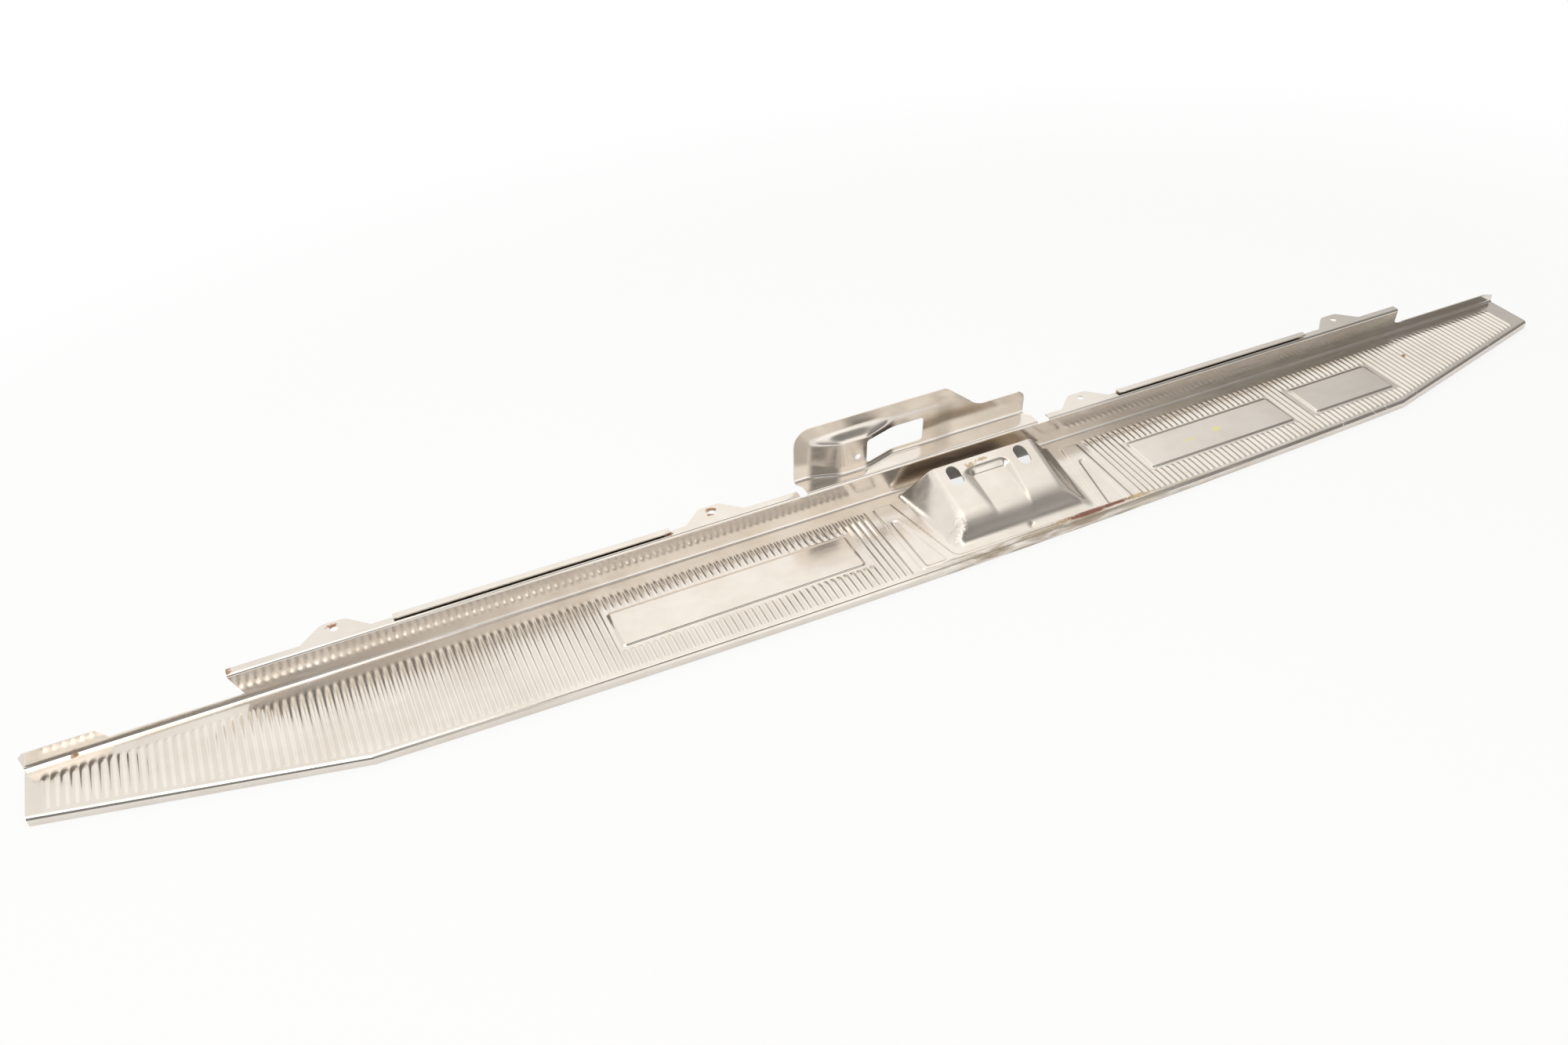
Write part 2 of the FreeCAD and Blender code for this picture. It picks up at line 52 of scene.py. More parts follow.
HOME = Matrix.Scale(MM, 4) @ Matrix.Translation((0.0, (FRONT_MIDDLE - TAB_REACH) / 2, LIP_DEPTH))

RIB_PITCH, RIB_HEIGHT, RIB_RADIUS = 5.4, 0.9, 2.9
RIB_REAR, RIB_FRONT, RIB_NOSE, RIB_LEAD = 11.5, 4.2, 3.6, 0.6
RIBS_LEFT = (-616.6, -49.6)
RIBS_RIGHT = (155.6, 609.2)
PAD_HEIGHT, PAD_CORNER, PAD_GAP, PAD_SLOPE = 1.2, 4.0, 1.6, 1.3
PAD_REAR, PAD_FRONT = 30.0, 65.0
PADS = [(-261.0, -73.0), (182.0, 330.0), (352.0, 440.0)]

COVER_X = 53.5
COVER_REAR, COVER_FRONT = 6.0, 79.5
COVER_TOP_REAR, COVER_TOP_FRONT = 13.5, 62.5
COVER_HIGH, COVER_LOW = 24.0, 10.0
COVER_FOOT_REAR, COVER_FOOT_FRONT, COVER_TOP_HALF = 67.0, 58.0, 45.25
HOLE_HALF, HOLE_LENGTH, HOLE_REAR, HOLE_OFFSET = 5.25, 18.0, 16.5, 30.25
DISH_HALF, DISH_REAR, DISH_DEPTH = 13.5, 27.0, 3.2
DISH_CORNER, DISH_SLOPE, DISH_LEFT_SLOPE = 2.0, 1.0, 0.5
DISH_EDGE, CREST_EDGE, SIDE_EDGE, REAR_EDGE, FOOT_EDGE = 2.2, 3.2, 3.4, 4.4, 3.2
PLATFORM_HEIGHT = 0.8
PLATFORM = [(-94.5, 12.0), (-94.5, 88.0), (94.5, 88.0), (94.5, 12.0)]
CHANNEL = [(-79.5, 5.0), (-63.5, 84.6), (63.5, 84.6), (79.5, 5.0)]
PLATFORM_EDGE, CHANNEL_CORNER, WEB_CORNER = 1.1, 6.0, 2.6
MIDDLE_REAR = 4.0
DIMPLE, DIMPLE_SIZE, DIMPLE_DEPTH = (58.4, 81.2), 4.5, 0.8
WEB = [(82.5, 31.0), (71.5, 86.0), (89.0, 86.0), (89.0, 31.0)]
WEB_EDGE = (-0.2, 0.9)

WALL_HALF = 502.0
STRIP_LEFT, STRIP_RIGHT = 4.5, 9.5
LEFT_LEAN, RIGHT_LEAN = 6.0, 3.0
WALL_LEFT, LEAN_TOP = LEFT_LEAN - WALL_HALF, STRIP_RIGHT + RIGHT_LEAN
END_FLANGE, END_LENGTH, END_RAMP, END_CORNER, END_TAPER = 13.0, 50.0, 6.0, 3.0, 12.0
GAP_LEFT, GAP_RIGHT = -95.0, 127.0
FLANGE = 6.5
HEM_INNER, HEM_OUTER, HEM_ROLL, HEM_RETURN = 197.0, 395.0, 0.7, 4.2
TAB_SHIFT, TAB_INNER, TAB_OUTER = 2.5, 163.5, 435.0
TABS = [TAB_SHIFT + place for place in (-TAB_OUTER, -TAB_INNER, TAB_INNER, TAB_OUTER)]
TAB_FOOT, TAB_HEAD, TAB_CORNER = 23.0, 8.0, 2.0
TAB_HOLE, TAB_HOLE_REACH = 2.75, 13.0
SHELF_LEFT, SHELF_RIGHT = -88.5, 116.0
BRACKET_LEFT, BRACKET_RIGHT = -92.0, 112.0
BRACKET_TOP, BRACKET_LOW = 70.0, 45.5
PLATE_CORNER, END_ROUND = 14.0, 7.0
BRACKET_PLAIN, BRACKET_BEND = 17.5, 2.6
STEP_LEFT, STEP_RIGHT = 38.0, 68.0
PLATE_FACES = [(-92.0, 17.5), (-80.0, 17.5), (-56.0, 9.5), (-34.0, 9.5), (-9.0, 16.8),
               (29.0, 16.8), (45.0, 17.5), (112.0, 17.5)]
BOSS_TOP, BEVEL_TOP, BEVEL_EASE = 54.0, 59.5, 1.0
FACE_EASE = (-3.0, -1.5, 0.0, 1.5, 3.0)
STEP_EASE = (-4.0, -2.0, 0.0, 2.0, 4.0)
WINDOW, WINDOW_CORNER = (-34.5, 18.5, 28.5, 49.5), 2.5
PLATE_HOLE = (-42.0, 37.0, 2.5)

# How finely the sheet is drawn. Rows of the tray are distances from the wall, from a rib's front
# end, or from its rear end in shares of its nose.
BEND_STEPS, ROLL_STEPS = 5, 6
COLUMNS_PER_RIB, COLUMN_SLACK = 8, 0.001
FRONT_ROWS = (0.3, -0.6, -1.4, -2.4)
PAD_ROWS = [71.0, 68.8, 67.6, 66.6, 65.0, 64.4, 63.7, 62.8,
            32.2, 31.3, 30.6, 30.0, 28.4, 27.4, 26.2, 24.0]
PAD_BESIDE = 9.0
OPEN_PARTS, OPEN_FRONT, OPEN_REAR = 17, 4.0, 4.5
NOSE_ROWS = (1.1, 0.6, 0.2, -0.3)
REAR_ROWS = [8.0, 4.0]
COVER_CREST, COVER_LAST = COVER_TOP_REAR + 3.0, FRONT_MIDDLE - LIP_BEND - 1.4
STEEP_STEP, TOP_STEP, COVER_COLUMN = 0.6, 0.85, 0.8
WALL_LEVELS = [FOLD, STRIP_LEFT, STRIP_RIGHT, LEAN_TOP, 17.0, WALL_TOP]
WALL_STEP, STRIP_STEP = 6.0, 8.0
TAB_STEP, TAB_COLUMNS = 0.9, 40
CORNER_COLUMN, CORNER_STEEP, PLATE_COLUMN = 0.7, 4.0, 1.1
SHELF_ROWS, PLATE_ROWS = (0.3, 0.6), 42


# Small helpers for drawing sheet.
def ramp(value, low, high):
    """0 below low and 1 above high, with a soft start and end."""
    share = min(max((value - low) / (high - low), 0.0), 1.0)
    return share * share * (3.0 - 2.0 * share)


def blend(first, second, share):
    return first + (second - first) * share


def soft_least(first, second, width):
    """The smaller of two heights, rounded where they meet."""
    near = max(width - abs(first - second), 0.0) / width
    return min(first, second) - near * near * width / 4


def along(points, x):
    """Value at x on a broken line of (x, value) points."""
    for (x0, v0), (x1, v1) in zip(points, points[1:]):
        if x <= x1:
            return blend(v0, v1, max((x - x0) / (x1 - x0), 0.0))
    return points[-1][1]


def stations(marks, step):
    """Stops through all the marks, no further apart than step."""
    stops = [marks[0]]
    for start, end in zip(marks, marks[1:]):
        count = max(math.ceil((end - start) / step), 1)
        stops += [blend(start, end, number / count) for number in range(1, count + 1)]
    return stops


def bend(centre, radius, start, end, steps):
    """Points (y, z) of an arc about centre, from one angle to another in degrees."""
    turns = [math.radians(blend(start, end, step / steps)) for step in range(steps + 1)]
    return [(centre[0] + radius * math.cos(turn), centre[1] + radius * math.sin(turn))
            for turn in turns]


def panel(columns, rows, point):
    """A grid whose corners are set to point(column, row)."""
    mesh = bmesh.new()
    bmesh.ops.create_grid(mesh, x_segments=columns, y_segments=rows, size=0.5)
    for vert in mesh.verts:
        column, row = (vert.co.x + 0.5) * columns, (vert.co.y + 0.5) * rows
        vert.co = point(round(column), round(row))
    return mesh


def sheet_through(lines):
    """Sheet through lines of points, one line for each column."""
    return panel(len(lines) - 1, len(lines[0]) - 1, lambda column, row: lines[column][row])


def swept(stops, section):
    """Sheet whose section (y, z) points at each stop along X come from section(x)."""
    return sheet_through([[(x, y, z) for y, z in section(x)] for x in stops])


def pierce(mesh, distance, flat, surface):
    """Opens a hole where distance is negative and draws its rim onto the outline."""
    gone = [face for face in mesh.faces if distance(*flat(face.calc_center_median())) < 0]
    rim = {vert for face in gone for vert in face.verts}
    bmesh.ops.delete(mesh, geom=gone, context="FACES")
    nudge = 0.01
    for vert in rim:
        if vert.is_valid:
            u, v = flat(vert.co)
            away = distance(u, v)
            slope_u = (distance(u + nudge, v) - away) / nudge
            slope_v = (distance(u, v + nudge) - away) / nudge
            vert.co = surface(u - slope_u * away, v - slope_v * away)


def finished(name, panels):
    """Joins panels into one piece of sheet with its thickness behind the drawn face."""
    whole = bmesh.new()
    for drawn in panels:
        part = bpy.data.meshes.new(name)
        drawn.to_mesh(part)
        drawn.free()
        whole.from_mesh(part)
        bpy.data.meshes.remove(part)
    bmesh.ops.remove_doubles(whole, verts=whole.verts, dist=0.02)
    bmesh.ops.transform(whole, matrix=HOME, verts=whole.verts)
    for face in whole.faces:
        face.smooth = True
    for edge in whole.edges:
        edge.smooth = not edge.is_boundary
    mesh = bpy.data.meshes.new(name)
    whole.to_mesh(mesh)
    whole.free()
    piece = bpy.data.objects.new(name, mesh)
    bpy.context.scene.collection.objects.link(piece)
    solid = piece.modifiers.new("gauge", "SOLIDIFY")
    solid.thickness = GAUGE * MM
    solid.offset = -1.0
    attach(piece, "root")
    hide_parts("boot_lid_trim")
    return piece


# Tray: ribs, pads and the forms pressed up in its middle.
def front_edge(x):
    """Distance from the wall to the front edge."""
    reach = abs(x)
    if reach > KINK:
        return blend(FRONT_KINK, FRONT_END, (reach - KINK) / (HALF_LENGTH - KINK))
    return blend(FRONT_MIDDLE, FRONT_KINK, (reach / KINK) ** 2)


def rib_run(centre, front, reach):
    """Share of a rib's height at a distance from the wall: 0 beyond its ends and over a pad."""
    end = front - RIB_FRONT
    run = ramp(reach, RIB_REAR - RIB_LEAD, RIB_REAR + RIB_NOSE) * ramp(-reach, -end, RIB_NOSE - end)
    half = RIB_PITCH / 2
    if any(left - half < centre < right + half for left, right in PADS):
        rear_end, front_end = PAD_GAP - PAD_REAR, PAD_FRONT + PAD_GAP
        run *= max(ramp(-reach, rear_end, rear_end + RIB_NOSE),
                   ramp(reach, front_end, front_end + RIB_NOSE))
    return run


def rib_height(x, reach):
    for first, last in (RIBS_LEFT, RIBS_RIGHT):
        if first - RIB_PITCH / 2 <= x <= last + RIB_PITCH / 2:
            across = (x - first + RIB_PITCH / 2) % RIB_PITCH - RIB_PITCH / 2
            dome = math.sqrt(RIB_RADIUS ** 2 - across ** 2) - (RIB_RADIUS - RIB_HEIGHT)
            return max(dome, 0.0) * rib_run(x - across, front_edge(x), reach)
    return 0.0


def pad_height(x, reach):
    height = 0.0
    for left, right in PADS:
        across = min(x - left, right - x) - PAD_CORNER
        deep = min(reach - PAD_REAR, PAD_FRONT - reach) - PAD_CORNER
        corner = math.hypot(min(across, 0.0), min(deep, 0.0))
        inside = PAD_CORNER - corner + max(min(across, deep), 0.0)
        height += PAD_HEIGHT * ramp(inside, 0.0, PAD_SLOPE)
    return height


def inside_by(outline, x, reach, width):
    """Distance inside a convex outline, with its corners rounded."""
    depth = None
    for (x0, y0), (x1, y1) in zip(outline, outline[1:] + outline[:1]):
        run = math.hypot(x1 - x0, y1 - y0)
        edge = ((x - x0) * (y0 - y1) + (reach - y0) * (x1 - x0)) / -run
        depth = edge if depth is None else soft_least(depth, edge, width)
    return depth


def cover_top(x, reach):
    """The cover's sloping top, with the dish pressed into its middle."""
    lean = (COVER_HIGH - COVER_LOW) / (COVER_TOP_FRONT - COVER_TOP_REAR)
    top = COVER_HIGH - lean * (reach - COVER_TOP_REAR)
    dish_rear_height = COVER_HIGH - lean * (DISH_REAR - COVER_TOP_REAR) - DISH_DEPTH
    forward = (reach - DISH_REAR) / (COVER_TOP_FRONT - DISH_REAR)
    beside = abs(x - COVER_X) - DISH_HALF + DISH_CORNER
    if x < COVER_X:
        beside = max(beside, 0.0) * DISH_LEFT_SLOPE / DISH_SLOPE
    behind = DISH_REAR + DISH_CORNER - reach
    outside = math.hypot(max(beside, 0.0), max(behind, 0.0)) - DISH_CORNER
    dish = blend(dish_rear_height, COVER_LOW, forward) + max(outside, 0.0) * DISH_SLOPE
    return top, soft_least(top, dish, DISH_EDGE)


def cover_height(x, reach):
    """The drawn box: rear wall, sloping top, front and leaning sides, rounded into one another."""
    top, dished = cover_top(x, reach)
    rear = (reach - COVER_REAR) * COVER_HIGH / (COVER_TOP_REAR - COVER_REAR)
    front = (COVER_FRONT - reach) * COVER_LOW / (COVER_FRONT - COVER_TOP_FRONT)
    forward = (reach - COVER_REAR) / (COVER_FRONT - COVER_REAR)
    foot = blend(COVER_FOOT_REAR, COVER_FOOT_FRONT, forward)
    side = (foot - abs(x - COVER_X)) / (foot - COVER_TOP_HALF) * max(top, COVER_LOW)
    height = soft_least(soft_least(dished, front, CREST_EDGE), side, SIDE_EDGE)
    height = soft_least(height, rear, REAR_EDGE)
    return -soft_least(-height, 0.0, FOOT_EDGE)


def middle_height(x, reach):
    """Cover, raised platform round it, sunk webs beside it and the dimple in front of it."""
    offset = x - COVER_X
    beside = -inside_by(CHANNEL, offset, reach, CHANNEL_CORNER)
    on_platform = min(beside, inside_by(PLATFORM, offset, reach, WEB_CORNER))
    raised = PLATFORM_HEIGHT * ramp(on_platform, 0.0, PLATFORM_EDGE)
    sunk = PLATFORM_HEIGHT * ramp(inside_by(WEB, abs(offset), reach, WEB_CORNER), *WEB_EDGE)
    from_dimple = math.hypot(x - DIMPLE[0], reach - DIMPLE[1])
    dimple = DIMPLE_DEPTH * max(1.0 - from_dimple / DIMPLE_SIZE, 0.0) ** 2
    return raised - sunk - dimple + cover_height(x, reach)


FOLD_ARC = bend((-FOLD, FOLD), FOLD, 270.0, 360.0, BEND_STEPS)


def lip_arc(front):
    arc = bend((LIP_BEND - front, -LIP_BEND), LIP_BEND, 180.0, 90.0, ROLL_STEPS)
    return [(-front, -LIP_DEPTH)] + arc


def tray_section(rows, height):
    """Section at x: lip, tray at the given distances from the wall, then the fold."""
    def section(x):
        front = front_edge(x)
        flat = [(-reach, height(x, reach)) for reach in rows(x, front)]
        return lip_arc(front) + flat + FOLD_ARC
    return section


def ribbed_rows(x, front):
    """Rows from the front to the rear, close together where ribs and pads end."""
    end = front - RIB_FRONT
    middle = PAD_ROWS
    if not any(left - PAD_BESIDE < x < right + PAD_BESIDE for left, right in PADS):
        middle = [blend(end - OPEN_FRONT, RIB_REAR + OPEN_REAR, part / OPEN_PARTS)
                  for part in range(1, OPEN_PARTS)]
    return ([end + place for place in FRONT_ROWS] + middle
            + [RIB_REAR + share * RIB_NOSE for share in NOSE_ROWS] + REAR_ROWS)


def ribbed_tray(name, marks):
    stops = stations(marks, RIB_PITCH / COLUMNS_PER_RIB + COLUMN_SLACK)
    return finished(name, [swept(stops, tray_section(
        ribbed_rows, lambda x, reach: rib_height(x, reach) + pad_height(x, reach)))])


def rib_marks(first, last):
    """The lines between ribs, from before the first rib to behind the last one."""
    count = round((last - first) / RIB_PITCH)
    return [first + RIB_PITCH * (number - 0.5) for number in range(count + 2)]


def finger_hole_distance(x, y):
    half_run = HOLE_LENGTH / 2 - HOLE_HALF
    along_hole = max(abs(-y - HOLE_REAR - HOLE_LENGTH / 2) - half_run, 0.0)
    return math.hypot(abs(x - COVER_X) - HOLE_OFFSET, along_hole) - HOLE_HALF


def cover_field(left, right):
    """The middle of the tray, with the lock cover, platforms and recessed webs."""
    rows = stations([MIDDLE_REAR, COVER_REAR, COVER_CREST], STEEP_STEP)
    rows += stations([COVER_CREST, COVER_LAST], TOP_STEP)[1:]
    run = rows[-1] - MIDDLE_REAR
    shares = [(reach - MIDDLE_REAR) / run for reach in reversed(rows)]

    def spread(x, front):
        return [MIDDLE_REAR + share * (run + front - FRONT_MIDDLE) for share in shares]

    sheet = swept(stations([left, right], COVER_COLUMN), tray_section(spread, middle_height))
    pierce(sheet, finger_hole_distance, lambda co: (co.x, co.y),
           lambda x, y: (x, y, middle_height(x, -y)))
    return finished("lock_cover", [sheet])


# Rear wall, low strips, flanges, hems and tabs.
def wall_web():
    """The upright web of the wall, from the fold to the flange, with its two leaning ends."""
    stops = stations([WALL_LEFT, -HEM_OUTER, GAP_LEFT, SHELF_LEFT, SHELF_RIGHT, GAP_RIGHT, HEM_OUTER,
                      WALL_HALF], WALL_STEP)

    def point(column, row):
        x, z = stops[column], WALL_LEVELS[row]
        if column == 0:
            x -= LEFT_LEAN * max((z - STRIP_LEFT) / (WALL_TOP - STRIP_LEFT), 0.0)
        if column == len(stops) - 1:
            x += RIGHT_LEAN * min(max((LEAN_TOP - z) / RIGHT_LEAN, 0.0), 1.0)
        return x, 0.0, z
    return panel(len(stops) - 1, len(WALL_LEVELS) - 1, point)


def low_strip(crest):
    """A low strip of wall whose top follows the (x, height) points."""
    stops = stations([x for x, height in crest], STRIP_STEP)
    return swept(stops, lambda x: [(0.0, FOLD), (0.0, along(crest, x))])


WALL_ARC = bend((FOLD, WALL_TOP), FOLD, 180.0, 90.0, BEND_STEPS)


def flange(left, right):
    stops = stations([left, right], WALL_STEP)
    return swept(stops, lambda x: WALL_ARC + [(FLANGE, WALL_HEIGHT)])


def hem(left, right):
    """The edge of the flange rolled up and forward over itself."""
    roll = bend((FLANGE, WALL_HEIGHT + HEM_ROLL), HEM_ROLL, -90.0, 90.0, ROLL_STEPS)
    back = (FLANGE - HEM_RETURN, WALL_HEIGHT + HEM_ROLL * 2)
    return swept(stations([left, right], WALL_STEP), lambda x: roll + [back])


def tab(centre):
    """A screw tab behind the flange: it narrows to a rounded head and has one hole."""
    levels = stations([FLANGE, TAB_REACH - TAB_CORNER, TAB_REACH], TAB_STEP)

    def point(column, row):
        y = levels[row]
        half = blend(TAB_FOOT, TAB_HEAD, (y - FLANGE) / (TAB_REACH - FLANGE))
        beyond = max(y - TAB_REACH + TAB_CORNER, 0.0)
        half -= TAB_CORNER - math.sqrt(TAB_CORNER ** 2 - beyond ** 2)
        return centre + half * (2.0 * column / TAB_COLUMNS - 1.0), y, WALL_HEIGHT
    plate = panel(TAB_COLUMNS, len(levels) - 1, point)
    pierce(plate, lambda x, y: math.hypot(x - centre, y - TAB_HOLE_REACH) - TAB_HOLE,
           lambda co: (co.x, co.y), lambda x, y: (x, y, WALL_HEIGHT))
    return plate


def rear_wall():
    """Web, low strips beside it, flanges, hems and tabs, as one piece of sheet."""
    left_crest = [
        (-HALF_LENGTH, END_FLANGE - END_CORNER), (END_CORNER - HALF_LENGTH, END_FLANGE),
        (END_LENGTH - END_RAMP - HALF_LENGTH, END_FLANGE), (END_LENGTH - HALF_LENGTH, STRIP_LEFT),
        (WALL_LEFT, STRIP_LEFT)]
    right_crest = [
        (WALL_HALF + RIGHT_LEAN, STRIP_RIGHT), (HALF_LENGTH - END_TAPER, STRIP_RIGHT),
        (HALF_LENGTH, STRIP_RIGHT - END_CORNER)]
    return finished("rear_wall", [
        wall_web(), low_strip(left_crest), low_strip(right_crest),
        flange(-WALL_HALF, GAP_LEFT), flange(GAP_RIGHT, WALL_HALF),
        hem(-HEM_OUTER, -HEM_INNER), hem(HEM_INNER, HEM_OUTER)] + [tab(centre) for centre in TABS])


# Striker bracket: shelf, bend and the plate with its pressed forms.
def plate_face(x, z):
    """How far the front face of the plate lies behind the wall."""
    formed = sum(along(PLATE_FACES, x + step) for step in FACE_EASE) / len(FACE_EASE)
    return blend(formed, BRACKET_PLAIN, ramp(z, BOSS_TOP - BEVEL_EASE, BEVEL_TOP + BEVEL_EASE))


def round_corner(top, corner, inset):
    """Height of an edge that turns down from top in a corner, at inset from the arc's centre."""
    return top - corner + math.sqrt(max(corner ** 2 - inset ** 2, 0.0))


def plate_top(x):
    """Top edge of the plate in elevation, with rounded corners."""
    if x < BRACKET_LEFT + PLATE_CORNER:
        return round_corner(BRACKET_TOP, PLATE_CORNER, BRACKET_LEFT + PLATE_CORNER - x)
    if x > BRACKET_RIGHT - END_ROUND:
        return round_corner(BRACKET_LOW, END_ROUND, x - BRACKET_RIGHT + END_ROUND)
    step_down = [(STEP_LEFT, BRACKET_TOP), (STEP_RIGHT, BRACKET_LOW)]
    return sum(along(step_down, x + step) for step in STEP_EASE) / len(STEP_EASE)


def window_distance(x, z):
    left, right, bottom, top = WINDOW
    across = abs(x - (left + right) / 2) - (right - left) / 2 + WINDOW_CORNER
    up = abs(z - (bottom + top) / 2) - (top - bottom) / 2 + WINDOW_CORNER
    outside = math.hypot(max(across, 0.0), max(up, 0.0))
    return outside + min(max(across, up), 0.0) - WINDOW_CORNER


def plate_hole_distance(x, z):
    return math.hypot(x - PLATE_HOLE[0], z - PLATE_HOLE[1]) - PLATE_HOLE[2]


def bracket_line(x):
    """One line over the shelf, round the foot and up the plate."""
    foot = WALL_HEIGHT + BRACKET_BEND
    turn = plate_face(x, foot) - BRACKET_BEND
    share_along = (x - BRACKET_LEFT) / (BRACKET_RIGHT - BRACKET_LEFT)
    shelf = WALL_ARC + [(blend(FOLD, turn, share), WALL_HEIGHT) for share in SHELF_ROWS]
    curl = bend((turn, foot), BRACKET_BEND, -90.0, 0.0, BEND_STEPS)
    heights = [blend(foot, plate_top(x), row / PLATE_ROWS) for row in range(1, PLATE_ROWS + 1)]
    return ([(blend(SHELF_LEFT, SHELF_RIGHT, share_along), y, z) for y, z in shelf]
            + [(x, y, z) for y, z in curl] + [(x, plate_face(x, z), z) for z in heights])


def striker_bracket():
    corner = BRACKET_LEFT + PLATE_CORNER
    stops = stations([BRACKET_LEFT, BRACKET_LEFT + CORNER_STEEP, corner], CORNER_COLUMN)
    stops += stations([corner, BRACKET_RIGHT - END_ROUND, BRACKET_RIGHT], PLATE_COLUMN)[1:]
    plate = sheet_through([bracket_line(x) for x in stops])
    foot = WALL_HEIGHT + BRACKET_BEND
    for distance in (window_distance, plate_hole_distance):
        pierce(plate, lambda u, v: distance(u, v) if v > foot else 1.0, lambda co: (co.x, co.z),
               lambda x, z: (x, plate_face(x, z), z))
    return finished("striker_bracket", [plate])


# Shader nodes, written as expressions. The numbers are those of the nodes' outputs.
GENERATED, NORMAL, OBJECT = 0, 1, 3
RAY_OUTPUTS = (0, 3, 6)


class Value:
    """A number socket that adds Math nodes when it is used in an expression."""

    def __init__(self, nodes, socket):
        self.nodes = nodes
        self.socket = socket

    def math(self, operation, *inputs):
        return self.nodes.add("ShaderNodeMath", {"operation": operation}, inputs)

    def __add__(self, other):
        return self.math("ADD", self, other)

    def __sub__(self, other):
        return self.math("SUBTRACT", self, other)

    def __mul__(self, other):
        return self.math("MULTIPLY", self, other)

    def __truediv__(self, other):
        return self.math("DIVIDE", self, other)

    def __radd__(self, other):
        return self.math("ADD", other, self)

    def __rsub__(self, other):
        return self.math("SUBTRACT", other, self)

    def __rmul__(self, other):
        return self.math("MULTIPLY", other, self)

    def ramp(self, low, high):
        """0 at low and 1 at high, with a soft start and end."""
        settings = {"interpolation_type": "SMOOTHSTEP"}
        return self.nodes.add("ShaderNodeMapRange", settings, (self, low, high, 0.0, 1.0))

    def most(self, other):
        return self.math("MAXIMUM", self, other)


class Nodes:
    """The node tree of one material or world."""

    def __init__(self, owner):
        owner.use_nodes = True
        self.tree = owner.node_tree
        self.tree.nodes.clear()

    def add(self, kind, settings=None, inputs=(), output=0):
        """Adds a node, sets it up, feeds its inputs by order or name and gives one output."""
        node = self.tree.nodes.new(kind)
        for name, setting in (settings or {}).items():
            setattr(node, name, setting)
        pairs = inputs.items() if isinstance(inputs, dict) else enumerate(inputs)
        for key, item in pairs:
            if isinstance(item, Value):
                self.tree.links.new(item.socket, node.inputs[key])
            elif item is not None:
                node.inputs[key].default_value = item
        return Value(self, node.outputs[output]) if node.outputs else None

    def mix(self, share, first, second):
        """A colour between two others."""
        return self.add("ShaderNodeMix", {"data_type": "RGBA"}, {0: share, 6: first, 7: second}, 2)

    def split(self, vector):
        """Its x, y and z."""
        return [self.add("ShaderNodeSeparateXYZ", inputs=(vector,), output=axis)
                for axis in range(3)]

    def ray_kinds(self):
        """1 for rays that come from the camera, off shiny faces and through clear ones."""
        return [self.add("ShaderNodeLightPath", output=output) for output in RAY_OUTPUTS]

    def noise(self, vector, scale, detail=3.0, roughness=0.5, distortion=0.0):
        return self.add("ShaderNodeTexNoise", inputs={
            "Vector": vector, "Scale": scale, "Detail": detail, "Roughness": roughness,
            "Distortion": distortion})


# Marks on the steel, with painted shade and painted reflection among them: the middle and the radii
# of each, in the drawing's millimetres.
RUST_SPOTS = [
    ((-599.3, -1.8, 0.4), (3.0, 2.2, 2.5)), ((-501.4, 3.9, 24.5), (3.4, 4.0, 2.2)),
    ((-198.5, 3.5, 25.0), (4.2, 2.4, 2.2)), ((482.8, -33.2, 0.5), (2.0, 2.6, 1.6)),
    ((-434.0, 16.4, 24.5), (4.6, 2.4, 2.0)), ((-161.0, 15.2, 24.5), (4.8, 3.0, 2.0)),
    ((-163.5, 10.2, 24.5), (3.4, 1.8, 2.0)), ((273.0, 14.5, 24.5), (3.0, 1.6, 2.0))]
# Ochre stains on the cover's top; the two on the lip's bend are painted reflection.
OCHRE_STAINS_AND_REFLECTIONS = [
    ((40.0, -20.5, 21.5), (5.0, 2.6, 5.0)), ((50.5, -18.6, 22.0), (6.0, 1.6, 5.0)),
    ((37.3, -29.0, 20.0), (1.6, 5.0, 5.0)), ((82.0, -87.2, -0.5), (13.0, 2.4, 3.0)),
    ((150.0, -87.0, -0.5), (20.0, 2.2, 3.0))]
# Painted reflection: a dark red streak along the bend of the front lip.
REFLECTION_STREAK = [((104.0, -87.2, -0.4), (25.0, 3.0, 3.0)), ((126.0, -87.0, -0.4), (22.0, 1.9, 3.0))]
WAX_MARKS = [((233.0, -48.5, 1.2), (7.0, 1.5, 2.0)), ((262.0, -46.8, 1.2), (5.5, 3.4, 2.0))]
# Painted shade inside the lock cover.
SHADE_UNDER_COVER = [((53.5, -26.0, 6.0), (90.0, 44.0, 30.0))]
DENTS = [((-3.2, -68.8, 2.0), (7.0, 6.0, 5.0)), ((6.1, -63.6, 7.0), (5.0, 7.0, 5.0))]
DINGS = [
    ((362.6, -87.0, -1.0), (1.8, 2.4, 3.0)), ((397.7, -84.0, -1.0), (2.4, 2.4, 3.0)),
    ((411.9, -83.3, -1.0), (1.8, 2.4, 3.0)), ((449.2, -79.4, -1.0), (2.6, 2.4, 3.0)),
    ((565.1, -55.0, -1.0), (2.0, 2.4, 3.0))]
LIP_LINE, LIP_FADE = 88.5, 3.0
# Painted brown reflection on the lip: where along the part it comes in and fades out, and how patchy
# it is.
REFLECTION_IN, REFLECTION_OUT, REFLECTION_PATCHY = (-60.0, 20.0), (90.0, 330.0), (0.38, 0.62)
# How much of the steel each mark covers, and how ragged its edge is.
RAGGED, OCHRE_RAGGED, STREAK_RAGGED, WAX_RAGGED = 2.6, 1.5, 0.6, 1.3
RUST_COVERS, OCHRE_COVERS, STREAK_COVERS, WAX_COVERS, REFLECTION_COVERS = 0.9, 0.75, 0.92, 0.75, 0.8
# Painted shade on faces that look down, darker still inside the lock cover.
DOWNWARD, UNDERSIDE_SHADE_SHARE, COVER_SHADE_SHARE = (0.05, 0.3), 0.2, 0.72
